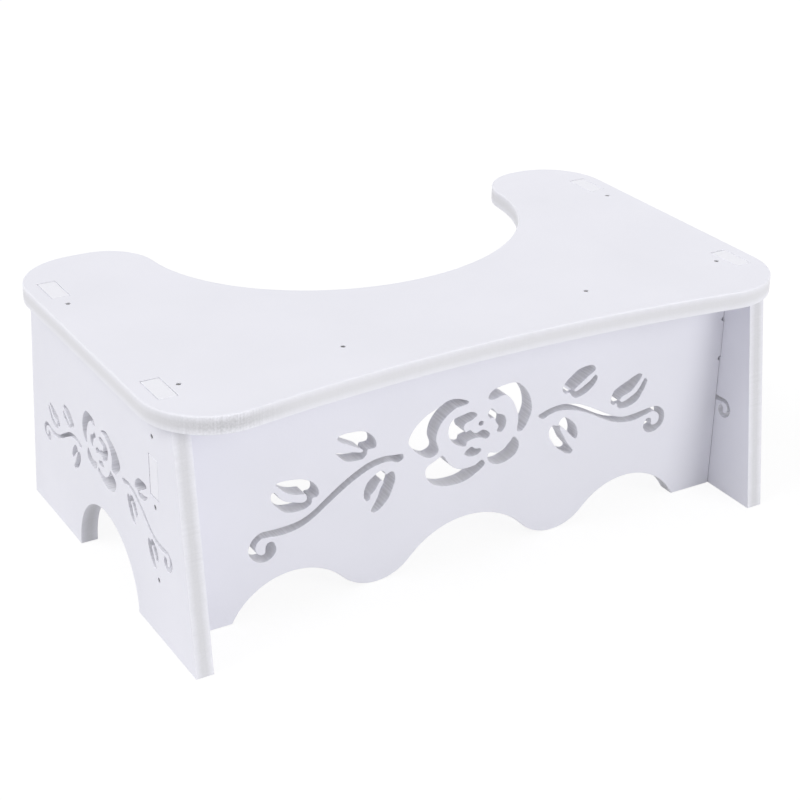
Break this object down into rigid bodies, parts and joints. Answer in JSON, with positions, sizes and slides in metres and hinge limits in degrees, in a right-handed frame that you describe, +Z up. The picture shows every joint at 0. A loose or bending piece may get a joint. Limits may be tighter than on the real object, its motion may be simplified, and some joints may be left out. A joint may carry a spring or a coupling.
{
  "type": "toilet footstool",
  "caption": "Low white footstool that stands round a toilet's foot: flat slotted boards, a wide rounded cut-out behind, arched feet, and a pierced rose with leafy vines on front and sides.",
  "frame": {"origin": "on the floor, under the middle of the top board", "axes": "+X along the stool's length, +Y towards the toilet and the open side of the cut-out, +Z up; the front board faces -Y"},
  "size_m": [0.46, 0.272, 0.172],
  "materials": {
    "board": "satin white skin on foamed plastic board, with matte routed edges",
    "nail": "dull bare steel"
  },
  "bodies": {
    "root": {"top_board": "board", "left_side_board": "board", "right_side_board": "board", "front_board": "board", "top_front_nail_1": "nail", "top_front_nail_2": "nail", "top_front_nail_3": "nail", "top_front_nail_4": "nail", "top_left_nail": "nail", "top_right_nail": "nail", "left_nail_low": "nail", "left_nail_middle": "nail", "left_nail_high": "nail", "right_nail_low": "nail", "right_nail_middle": "nail", "right_nail_high": "nail"}
  },
  "joints": []
}
